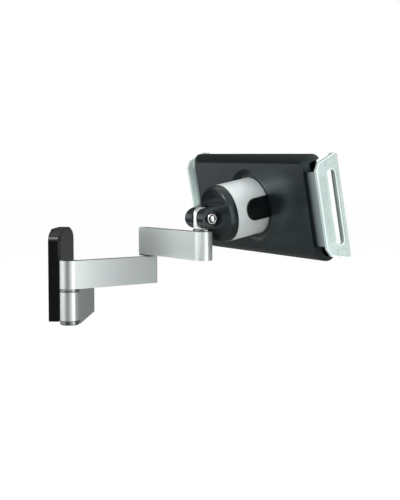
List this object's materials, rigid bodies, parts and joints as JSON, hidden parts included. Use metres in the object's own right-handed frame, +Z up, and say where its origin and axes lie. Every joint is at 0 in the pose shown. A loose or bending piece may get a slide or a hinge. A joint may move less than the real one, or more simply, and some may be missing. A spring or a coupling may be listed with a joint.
{
  "type": "tablet wall mount",
  "caption": "Wall mount with a two-piece folding metal arm, a tilting and turning head and a spread-to-fit holder that grips a tablet by its long sides.",
  "frame": {"origin": "middle of the wall plate's back face, on the wall", "axes": "+X out of the wall, +Y along the wall towards the end that has no hinge, +Z up"},
  "size_m": [0.2231, 0.1633, 0.1294],
  "materials": {
    "aluminium": "satin anodised",
    "black_plastic": "satin",
    "gloss_black": "gloss",
    "chrome": "polished",
    "steel": "zinc plated",
    "nylon": "natural",
    "grip_plastic": "translucent, smooth",
    "slider_plastic": "smooth",
    "rubber": "matt"
  },
  "bodies": {
    "wall": {"wall_plate": "steel", "wall_cover": "black_plastic", "wall_bracket": "aluminium", "bracket_screw_near": "steel", "bracket_screw_far": "steel", "wall_pin": "steel", "wall_end_cap": "gloss_black", "wall_washer": "gloss_black"},
    "arm_1": {"arm_1": "aluminium", "wall_bush": "nylon", "wall_pin_cap": "gloss_black", "elbow_pin": "steel"},
    "arm_2": {"arm_2": "aluminium", "elbow_pad": "black_plastic", "elbow_bush": "nylon", "elbow_cap": "gloss_black", "head_bush": "nylon"},
    "swivel": {"head_washer": "gloss_black", "swivel_block": "chrome", "swivel_screw": "steel"},
    "head": {"tilt_cap": "black_plastic", "tilt_washer_near": "nylon", "tilt_washer_far": "nylon", "tilt_bolt": "chrome", "tilt_nut": "steel", "sleeve": "aluminium", "head_core": "black_plastic"},
    "button_near": {"release_button_near": "gloss_black"},
    "button_far": {"release_button_far": "gloss_black"},
    "holder": {"lock_hub": "steel", "holder_shell": "black_plastic", "front_plate": "black_plastic", "rubber_pad_far_high": "rubber", "rubber_pad_far_low": "rubber", "rubber_pad_near_high": "rubber", "rubber_pad_near_low": "rubber"},
    "pinion": {"pinion": "nylon"},
    "grip_near": {"slider_near": "slider_plastic", "grip_near": "grip_plastic"},
    "grip_far": {"slider_far": "slider_plastic", "grip_far": "grip_plastic"}
  },
  "joints": [
    {"name": "wall_swivel", "type": "hinge", "parent": "wall", "child": "arm_1", "pos_m": [0.0185, -0.047, 0], "axis": [0, 0, 1], "range_deg": [-130, 46]},
    {"name": "elbow_swivel", "type": "hinge", "parent": "arm_1", "child": "arm_2", "pos_m": [0.07383, -0.00081, 0], "axis": [0, 0, 1], "range_deg": [-95, 104]},
    {"name": "head_swivel", "type": "hinge", "parent": "arm_2", "child": "swivel", "pos_m": [0.11834, -0.05749, 0.0348], "axis": [0, 0, -1], "range_deg": [-34, 180]},
    {"name": "head_tilt", "type": "hinge", "parent": "swivel", "child": "head", "pos_m": [0.11834, -0.05749, 0.0446], "axis": [-0.549, 0.8358, 0], "range_deg": [-80, 13]},
    {"name": "holder_spin", "type": "hinge", "parent": "head", "child": "holder", "pos_m": [0.15319, -0.0346, 0.05285], "axis": [0.8199, 0.5386, 0.1942], "continuous": true},
    {"name": "button_near_press", "type": "slide", "parent": "head", "child": "button_near", "axis": [-0.549, 0.8358, 0], "range_m": [0, 0.002], "stiffness_N_per_m": 800},
    {"name": "button_far_press", "type": "slide", "parent": "head", "child": "button_far", "axis": [0.549, -0.8358, 0], "range_m": [0, 0.002], "stiffness_N_per_m": 800},
    {"name": "grip_near_slide", "type": "slide", "parent": "holder", "child": "grip_near", "axis": [0.5512, -0.8342, -0.0137], "range_m": [-0.0066, 0.016]},
    {"name": "grip_far_slide", "type": "slide", "parent": "holder", "child": "grip_far", "axis": [-0.5512, 0.8342, 0.0137], "range_m": [-0.0068, 0.0162]},
    {"name": "pinion_spin", "type": "hinge", "parent": "holder", "child": "pinion", "pos_m": [0.15811, -0.03137, 0.05402], "axis": [0.8199, 0.5386, 0.1942], "range_deg": [-56, 131]}
  ],
  "couplings": [
    {"joint": "grip_far_slide", "follows": "grip_near_slide", "ratio": 1},
    {"joint": "pinion_spin", "follows": "grip_near_slide", "rad_per_m": 140.25}
  ]
}
